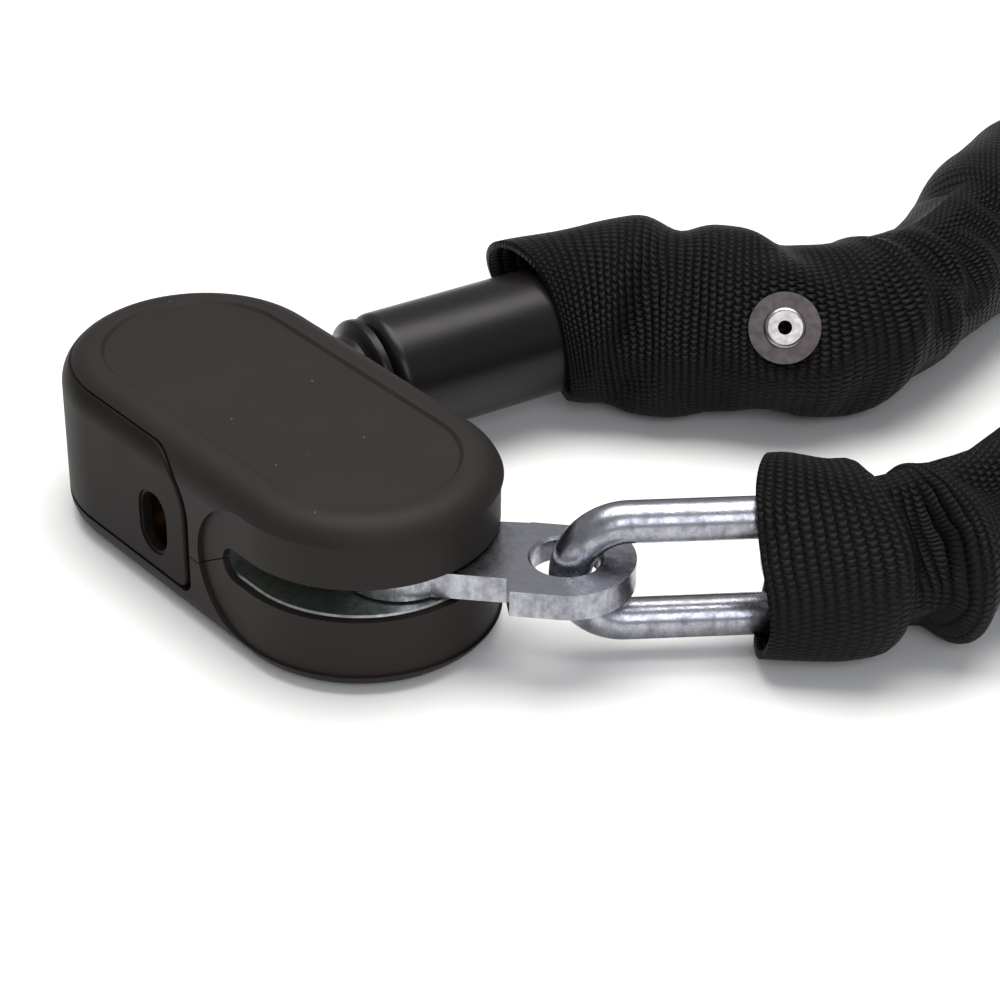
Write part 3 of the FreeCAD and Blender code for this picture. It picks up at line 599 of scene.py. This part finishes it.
def shape_at(along, turn):
    """The cloth's outer face, in mm, at a distance along the chain and a turn from the top."""
    along, turn = np.broadcast_arrays(along, turn)
    index = along - distance[0]
    centre = np.stack([np.interp(index, np.arange(len(line)), line[:, k]) for k in range(2)], -1)
    ahead = np.stack([np.interp(index, np.arange(len(way)), way[:, k]) for k in range(2)], -1)
    ahead /= np.linalg.norm(ahead, axis=-1)[..., None]
    side = np.stack([ahead[..., 1], -ahead[..., 0]], -1)
    up, down, near, far = (np.interp(along, fine, reach[:, k]) for k in range(4))
    turned = np.radians(turn)
    turning = np.clip((along - HALF_WAY + TURNING / 2) / TURNING, 0, 1)
    lean = np.radians(LEAN) * (1 - 2 * turning**2 * (3 - 2 * turning))
    faces_front = np.sin(turned) * np.where(along < HALF_WAY, 1, -1) > 0
    tall = np.where(np.cos(turned) > 0, up, down) * np.cos(turned)
    wide = np.where(faces_front, near, far) * np.sin(turned)
    x = wide * np.cos(lean) - tall * np.sin(lean)
    z = wide * np.sin(lean) + tall * np.cos(lean)
    radius = np.hypot(x, z) + fold_relief(along, turn)
    bearing = np.arctan2(z, x)
    limit = hard_limit(along, bearing)
    on_ferrule = np.clip((along - ON_FERRULE) / FERRULE_EASE, 0, 1)
    limit = limit + (FERRULE_CLEAR - limit) * on_ferrule
    radius = limit + np.logaddexp(0, (radius - limit) / LIMIT_SOFT) * LIMIT_SOFT
    z = CHAIN_HEIGHT + radius * np.sin(bearing)
    x = radius * np.cos(bearing)
    z = TABLE + np.logaddexp(0, (z - TABLE) / TABLE_SOFT) * TABLE_SOFT
    return np.stack([centre[..., 0] + side[..., 0] * x, centre[..., 1] + side[..., 1] * x, z], -1)


rings = int(round((BACK_MOUTH - FRONT_MOUTH) / RING_STEP)) + 1
turn = np.linspace(0, 360, AROUND, endpoint=False)[None, :]
front_turn = np.radians(turn)
start = FRONT_MOUTH + FRONT_CUT_TOP * np.cos(front_turn) - FRONT_CUT_NEAR * np.sin(front_turn)
start = start - FRONT_CUT_BELOW * np.sin(2 * front_turn)
end = BACK_MOUTH + BACK_CUT_TOP * np.cos(np.radians(turn))
share = np.linspace(0, 1, rings)[:, None]
MOUTH_RINGS = 40  # over which a slanting mouth straightens out
blend_in = np.clip(1 - share * rings / MOUTH_RINGS, 0, 1) ** 2
blend_out = np.clip(1 - (1 - share) * rings / MOUTH_RINGS, 0, 1) ** 2
along = FRONT_MOUTH + (BACK_MOUTH - FRONT_MOUTH) * share
along = along + (start - FRONT_MOUTH) * blend_in + (end - BACK_MOUTH) * blend_out
outer = shape_at(along, turn)
ring_length = np.linalg.norm(np.roll(outer, -1, 1) - outer, axis=-1).sum(1)
print(
    "rings:",
    rings,
    "ring lengths:",
    ring_length.min().round(1),
    "to",
    ring_length.max().round(1),
    "mm",
)

# %% [markdown]
# ## The sleeve: its place under the rivet
#
# The washer presses the cloth flat. Points near it are moved onto the plane of the washer's underside.

# %% Press the cloth under the washer
washer = middle("rivet_washer")
nearest = int(np.argmin(np.linalg.norm(line - washer[:2], axis=1)))
axis_point = np.array([*line[nearest], CHAIN_HEIGHT])
pull = washer - axis_point
pull -= np.array([*way[nearest], 0]) * (pull @ np.array([*way[nearest], 0]))
pull /= np.linalg.norm(pull)
WASHER_HALF = 0.4 + 0.05  # mm from the washer's middle to the cloth
PRESS = (6.5, 13.0)  # mm: fully flat inside the first, untouched outside the second
plane = washer @ pull - WASHER_HALF
offset = outer - washer
depth = offset @ pull
sideways = np.linalg.norm(offset - depth[..., None] * pull, axis=-1)
PRESS_DEPTH = 14  # mm from the washer, so that the cloth on the far side stays
press = np.clip((PRESS[1] - sideways) / (PRESS[1] - PRESS[0]), 0, 1) * (np.abs(depth) < PRESS_DEPTH)
press = press**2 * (3 - 2 * press)
outer = outer + ((plane - outer @ pull) * press)[..., None] * pull
print("pressed points:", int((press > 0.5).sum()))

# %% [markdown]
# ## The sleeve: a shell of cloth
#
# The outer face alone would look like paper at the mouths, so the cloth gets an inner face, one cloth
# thickness inside, and closed edges. The weave needs to know where it is on the cloth, so each corner
# stores its distance round and along the tube, in metres.

# %% Build the sleeve's mesh
across = np.roll(outer, -1, 1) - np.roll(outer, 1, 1)
lengthwise = np.gradient(outer, axis=0)
normal = np.cross(across, lengthwise)
normal /= np.linalg.norm(normal, axis=-1)[..., None]
centre_of_ring = outer.mean(1, keepdims=True)
normal *= np.sign(((outer - centre_of_ring) * normal).sum(-1).mean())
inner = outer - normal * CLOTH
points = np.concatenate([outer.reshape(-1, 3), inner.reshape(-1, 3)]) * MM
grid = np.arange(rings * AROUND).reshape(rings, AROUND)
next_grid = np.roll(grid, -1, 1)
quads_out = np.stack([grid[:-1], grid[1:], next_grid[1:], next_grid[:-1]], -1).reshape(-1, 4)
quads_in = quads_out[:, ::-1] + rings * AROUND
front_rim = np.stack(
    [grid[0], next_grid[0], next_grid[0] + rings * AROUND, grid[0] + rings * AROUND], -1
)
back_rim = np.stack(
    [grid[-1], grid[-1] + rings * AROUND, next_grid[-1] + rings * AROUND, next_grid[-1]], -1
)
quads = np.concatenate([quads_out, quads_in, front_rim, back_rim])
if (np.cross(outer[5, 1] - outer[5, 0], outer[6, 0] - outer[5, 0]) @ normal[5, 0]) > 0:
    quads = quads[:, ::-1]

sleeve_mesh = bpy.data.meshes.new("nylon_sleeve")
sleeve_mesh.from_pydata(points.tolist(), [], quads.tolist())
CLOTH_ROUND = 84.0  # mm, the tube's woven circumference
column = np.arange(AROUND + 1) * CLOTH_ROUND / AROUND * MM
run = np.concatenate([[0], np.cumsum(np.linalg.norm(np.diff(outer.mean(1), axis=0), axis=1))]) * MM
ring_of = np.tile(np.repeat(np.arange(rings), AROUND), 2)
column_of = np.tile(np.arange(AROUND), 2 * rings)
threads = sleeve_mesh.uv_layers.new(name="threads")
loop_points = np.zeros(len(sleeve_mesh.loops), int)
sleeve_mesh.loops.foreach_get("vertex_index", loop_points)
loop_columns = column_of[loop_points].reshape(-1, 4)
wraps = (loop_columns.max(1) - loop_columns.min(1)) > AROUND / 2
loop_columns = np.where(
    wraps[:, None] & (loop_columns < AROUND / 2), loop_columns + AROUND, loop_columns
)
thread_places = np.stack([column[loop_columns.ravel()], run[ring_of[loop_points]]], -1)
threads.data.foreach_set("uv", thread_places.astype(np.float32).ravel())
sleeve_mesh.polygons.foreach_set("use_smooth", np.ones(len(quads), bool))
sleeve_mesh.update()
sleeve = bpy.data.objects.new("nylon_sleeve", sleeve_mesh)
bpy.context.scene.collection.objects.link(sleeve)
print("sleeve:", len(points), "points, cloth length", round(float(run[-1]) * 1000), "mm")

# %% [markdown]
# ## The sleeve's weave
#
# The cloth is a plain weave with thick yarn running round the tube, in ribs 1.25 mm apart, held by yarns
# along it 1 mm apart. Each crossing shows as a small pillow, half a step later in the next rib. Nylon
# yarn is a bundle of fine filaments, so it has a soft sheen. Its colour is near black, with painted shade
# in the gaps between pillows and a painted grey highlight on each pillow's crown.

# %% Woven nylon
RIB = 1.25  # mm between ribs
CROSSING = 1.0  # mm between crossings along a rib
FUZZ = 0.18  # how much of a pillow's height single filaments add

nylon, shader, _, output = finish(
    "woven_black_nylon", **{"Roughness": 0.5, "IOR": 1.22}
)
thread_place = add(nylon, "UVMap", uv_map="threads")
wander = add(
    nylon,
    "TexNoise",
    {"Vector": thread_place.outputs["UV"], "Scale": per_metre(6.0), "Detail": 2.0},
)
wandered = add(
    nylon,
    "VectorMath",
    {0: wander.outputs["Color"], 1: (0.0007, 0.0007, 0.0)},
    operation="MULTIPLY",
)
yarn_place = add(
    nylon,
    "VectorMath",
    {0: thread_place.outputs["UV"], 1: wandered.outputs["Vector"]},
    operation="ADD",
)
split = add(nylon, "SeparateXYZ", {"Vector": yarn_place.outputs["Vector"]})
rib_count = add(nylon, "Math", {0: split.outputs["Y"], 1: per_metre(RIB)}, operation="MULTIPLY")
rib_turn = add(nylon, "Math", {0: rib_count.outputs["Value"], 1: math.pi}, operation="MULTIPLY")
rib_sine = add(nylon, "Math", {0: rib_turn.outputs["Value"]}, operation="SINE")
rib_round = add(nylon, "Math", {0: rib_sine.outputs["Value"]}, operation="ABSOLUTE")
rib_number = add(nylon, "Math", {0: rib_count.outputs["Value"]}, operation="FLOOR")
half_step = add(nylon, "Math", {0: rib_number.outputs["Value"], 1: 0.5}, operation="MULTIPLY")
crossing_count = add(
    nylon,
    "Math",
    {0: split.outputs["X"], 1: per_metre(CROSSING), 2: half_step.outputs["Value"]},
    operation="MULTIPLY_ADD",
)
crossing_turn = add(
    nylon, "Math", {0: crossing_count.outputs["Value"], 1: math.pi}, operation="MULTIPLY"
)
crossing_sine = add(nylon, "Math", {0: crossing_turn.outputs["Value"]}, operation="SINE")
crossing_round = add(nylon, "Math", {0: crossing_sine.outputs["Value"]}, operation="ABSOLUTE")
pillow = add(
    nylon,
    "Math",
    {0: rib_round.outputs["Value"], 1: crossing_round.outputs["Value"]},
    operation="MULTIPLY",
)
pillow_round = add(nylon, "Math", {0: pillow.outputs["Value"], 1: 0.8}, operation="POWER")
filament = add(
    nylon,
    "TexNoise",
    {"Vector": thread_place.outputs["UV"], "Scale": per_metre(0.25), "Detail": 2.0},
)
relief = add(
    nylon,
    "Math",
    {0: filament.outputs["Fac"], 1: FUZZ, 2: pillow_round.outputs["Value"]},
    operation="MULTIPLY_ADD",
)
height = add(
    nylon, "Bump", {"Height": relief.outputs["Value"], "Strength": 0.85, "Distance": 0.0005}
)
# Painted shade and highlight: the colour goes near black in the gaps and grey on the pillows' crowns.
yarn_colour_with_painted_shade_and_highlight = ramp(
    nylon, relief.outputs["Value"], [(0.25, "#010101"), (0.7, "#060605"), (1.0, "#131311")]
)
join(nylon, yarn_colour_with_painted_shade_and_highlight, shader.inputs["Base Color"])
join(nylon, height.outputs["Normal"], shader.inputs["Normal"])
sleeve_mesh.materials.append(nylon)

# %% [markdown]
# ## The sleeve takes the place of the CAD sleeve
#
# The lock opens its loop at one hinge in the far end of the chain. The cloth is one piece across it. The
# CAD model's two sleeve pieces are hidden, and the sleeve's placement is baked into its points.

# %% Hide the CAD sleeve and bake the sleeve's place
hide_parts("sleeve_free_side", "sleeve_fixed_side")
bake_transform(sleeve)

# %% [markdown]
# ## Table, light and camera
#
# A pale table, a large soft lamp overhead and slightly behind, and a weaker one from the front right, so
# that the upper faces are lightest, the sides fall off and steel has something bright and something dark
# to mirror.

# %% Table
TABLE_HALF = 3.0  # m
table_mesh = bpy.data.meshes.new("table")
corners = [
    (-TABLE_HALF, -TABLE_HALF, 0),
    (TABLE_HALF, -TABLE_HALF, 0),
    (TABLE_HALF, TABLE_HALF, 0),
    (-TABLE_HALF, TABLE_HALF, 0),
]
table_mesh.from_pydata(corners, [], [(0, 1, 2, 3)])
table = bpy.data.objects.new("table", table_mesh)
bpy.context.scene.collection.objects.link(table)
table.location.z = -0.0002
paper, shader, place, _ = finish(
    "matt_white_paper", **{"Base Color": linear("#f1f1f0"), "Roughness": 0.9}
)
table_mesh.materials.append(paper)


# %% Lights
def soft_lamp(name, place, aim, size, watts, colour):
    lamp = bpy.data.lights.new(name, "AREA")
    lamp.shape, lamp.size, lamp.size_y = "RECTANGLE", size[0], size[1]
    lamp.energy, lamp.color = watts, linear(colour)[:3]
    holder = bpy.data.objects.new(name, lamp)
    holder.location = place
    holder.rotation_euler = (Vector(aim) - Vector(place)).to_track_quat("-Z", "Y").to_euler()
    bpy.context.scene.collection.objects.link(holder)


soft_lamp("overhead_softbox", (-0.08, 0.16, 0.95), (0.03, 0.03, 0.0), (0.9, 0.8), 12.5, "#fffdfa")
soft_lamp("front_fill", (0.75, -0.35, 0.55), (0.03, 0.0, 0.01), (0.6, 0.5), 3.0, "#f6f8ff")
world = bpy.data.worlds.new("studio")
bpy.context.scene.world = world
world.use_nodes = True
world.node_tree.nodes["Background"].inputs["Color"].default_value = linear("#f4f5f7")
world.node_tree.nodes["Background"].inputs["Strength"].default_value = 0.42

# %% Camera
CAMERA_PLACE = Vector((0.288186, -0.201465, 0.229064))
CAMERA_RIGHT = Vector((0.64002, 0.76828, 0.01123))
CAMERA_UP = Vector((-0.41368, 0.33223, 0.84764))
LENS = 101.7  # mm on a 36 mm wide sensor
camera_data = bpy.data.cameras.new("camera")
camera_data.sensor_width = 36.0
camera_data.lens = LENS
camera_data.clip_start = 0.01
camera = bpy.data.objects.new("camera", camera_data)
bpy.context.scene.collection.objects.link(camera)
camera_back = CAMERA_RIGHT.cross(CAMERA_UP)
turned = Matrix([CAMERA_RIGHT, CAMERA_UP, camera_back]).transposed().to_4x4()
camera.matrix_world = Matrix.Translation(CAMERA_PLACE) @ turned
bpy.context.scene.camera = camera
bpy.context.scene.view_settings.view_transform = "Standard"
